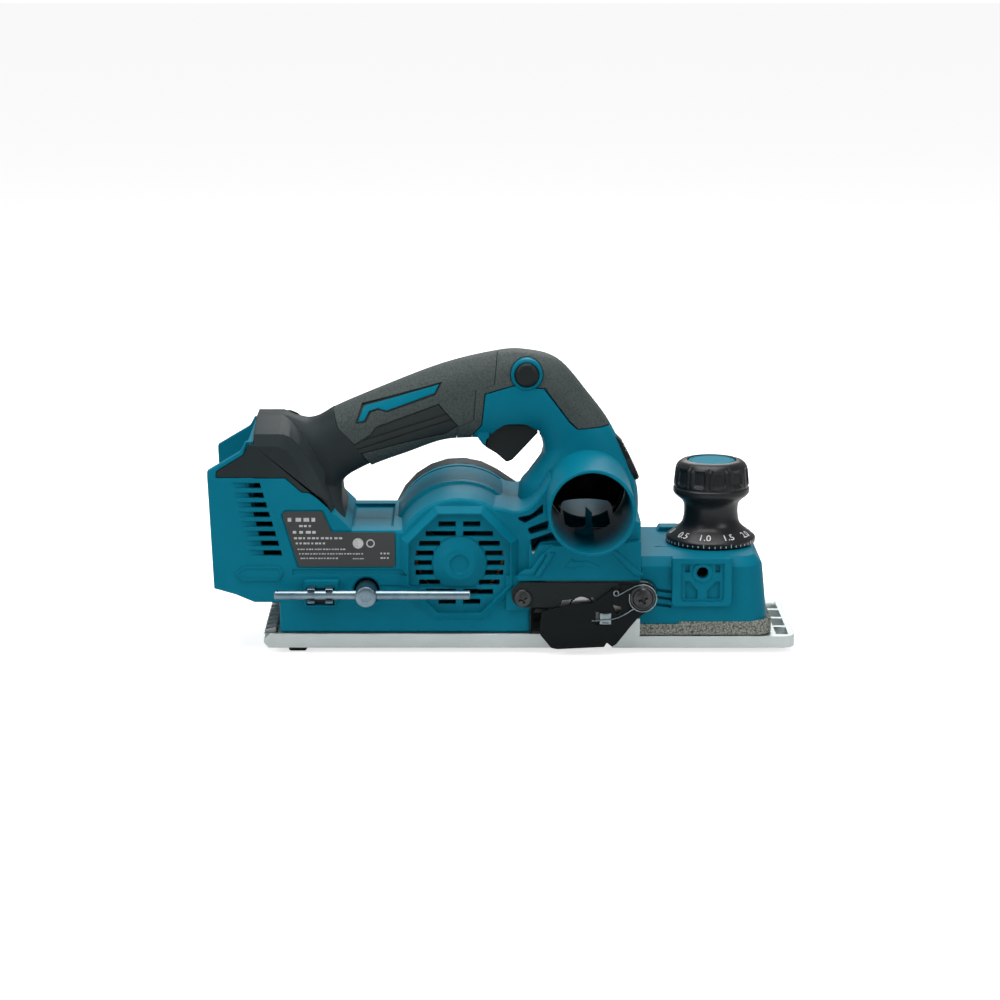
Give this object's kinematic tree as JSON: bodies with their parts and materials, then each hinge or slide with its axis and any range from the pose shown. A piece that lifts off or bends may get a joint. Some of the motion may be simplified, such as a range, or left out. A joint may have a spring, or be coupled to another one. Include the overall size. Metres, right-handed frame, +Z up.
{
  "type": "electric hand planer",
  "caption": "Handheld electric planer with a closed rear handle, a front depth knob, a side chip duct and a belt-driven cutter drum.",
  "frame": {"origin": "middle of the rear sole, on the planed surface", "axes": "+X is the planing direction, towards the depth knob; +Y points to the drive belt side; +Z is up"},
  "size_m": [0.3313, 0.156, 0.1673],
  "materials": {
    "casing_teal": "satin moulded plastic",
    "grip_rubber": "pebbled soft grip",
    "shroud_plastic": "fine grained",
    "label_film": "satin film",
    "black_plastic": "satin",
    "knob_plastic": "semi-gloss",
    "cap_teal": "satin",
    "cast_aluminium": "ground sole, cast sides",
    "drum_alloy": "turned",
    "tool_steel": "ground",
    "zinc_steel": "zinc plated",
    "bright_steel": "bright",
    "black_steel": "black oxide",
    "pulley_steel": "turned",
    "winding_copper": "varnished winding",
    "belt_rubber": "ribbed belt",
    "foam": "open-cell foam"
  },
  "bodies": {
    "body": {"housing_right": "casing_teal", "housing_left": "casing_teal", "front_housing": "casing_teal", "grip_rear": "grip_rubber", "grip_front": "grip_rubber", "rear_shroud": "shroud_plastic", "terminal_block": "shroud_plastic", "wrench_clip": "shroud_plastic", "rating_label": "label_film", "belt_cover": "black_plastic", "switch_body": "black_plastic", "controller": "black_plastic", "rear_base": "cast_aluminium", "main_frame": "cast_aluminium", "drum_bearing_right": "bright_steel", "drum_bearing_left": "bright_steel", "motor_bearing_right": "bright_steel", "motor_bearing_left": "bright_steel", "depth_spring": "bright_steel", "foot_pin": "bright_steel", "cover_plate": "black_steel", "cover_screw_rear": "black_steel", "cover_pivot_screw": "black_steel", "housing_screw_1": "black_steel", "housing_screw_2": "black_steel", "housing_screw_3": "black_steel", "belt_cover_screw_1": "black_steel", "belt_cover_screw_2": "black_steel", "belt_cover_screw_3": "black_steel", "stator": "winding_copper", "drive_belt": "belt_rubber", "front_seal": "foam"},
    "drum": {"cutter_drum": "drum_alloy", "blade_a": "tool_steel", "blade_b": "tool_steel", "blade_clamp_a": "tool_steel", "blade_clamp_b": "tool_steel", "blade_bolt_a1": "bright_steel", "blade_bolt_a2": "bright_steel", "blade_bolt_a3": "bright_steel", "blade_bolt_b1": "bright_steel", "blade_bolt_b2": "bright_steel", "blade_bolt_b3": "bright_steel", "drum_pulley": "pulley_steel"},
    "motor": {"rotor": "pulley_steel", "cooling_fan": "black_plastic", "motor_pulley": "pulley_steel"},
    "trigger": {"trigger": "black_plastic"},
    "lock_off": {"lock_off_button": "black_plastic"},
    "knob": {"depth_knob": "knob_plastic", "knob_cap": "cap_teal", "depth_screw": "bright_steel"},
    "front_shoe": {"front_base": "cast_aluminium"},
    "side_cover": {"blade_cover": "black_steel", "cover_spring": "bright_steel"},
    "foot": {"rest_foot": "black_plastic"},
    "wrench": {"wrench_bar": "zinc_steel", "wrench_socket": "zinc_steel"},
    "chip_selector": {"chip_deflector": "black_plastic", "direction_lever": "black_plastic"}
  },
  "joints": [
    {"name": "cutter_spin", "type": "hinge", "parent": "body", "child": "drum", "pos_m": [0.0929, 0, 0.0238], "axis": [0, 1, 0], "continuous": true},
    {"name": "motor_spin", "type": "hinge", "parent": "body", "child": "motor", "pos_m": [0.024, 0, 0.049], "axis": [0, 1, 0], "continuous": true},
    {"name": "trigger_pull", "type": "hinge", "parent": "body", "child": "trigger", "pos_m": [0.0645, 0, 0.1195], "axis": [0, 1, 0], "range_deg": [0, 8], "stiffness_Nm_per_rad": 0.5, "springref_deg": -8.59},
    {"name": "lock_off_push", "type": "slide", "parent": "body", "child": "lock_off", "axis": [0, 1, 0], "range_m": [-0.003, 0.003], "stiffness_N_per_m": 800},
    {"name": "depth_knob_turn", "type": "hinge", "parent": "body", "child": "knob", "pos_m": [0.1685, 0, 0.0526], "axis": [0, 0, -1], "range_deg": [0, 288]},
    {"name": "front_base_slide", "type": "slide", "parent": "body", "child": "front_shoe", "axis": [0, 0, 1], "range_m": [0, 0.004], "deforming": ["depth_spring", "front_seal"]},
    {"name": "blade_cover_swing", "type": "hinge", "parent": "body", "child": "side_cover", "pos_m": [0.127, -0.048, 0.0305], "axis": [0, 1, 0], "range_deg": [0, 35], "stiffness_Nm_per_rad": 0.05, "springref_deg": -28.65},
    {"name": "foot_swing", "type": "hinge", "parent": "body", "child": "foot", "pos_m": [-0.06, -0.033, 0.0046], "axis": [0, 1, 0], "range_deg": [-35, 18], "stiffness_Nm_per_rad": 0.02, "springref_deg": -5.73},
    {"name": "wrench_pull", "type": "slide", "parent": "body", "child": "wrench", "axis": [0, -1, 0], "range_m": [0, 0.06]},
    {"name": "chip_direction_turn", "type": "hinge", "parent": "body", "child": "chip_selector", "pos_m": [0.097, 0, 0.0846], "axis": [0.9071, 0, 0.421], "range_deg": [0, 180]}
  ],
  "couplings": [
    {"joint": "motor_spin", "follows": "cutter_spin", "ratio": 1.5263},
    {"joint": "front_base_slide", "follows": "depth_knob_turn", "m_per_rad": 0.00079577}
  ]
}
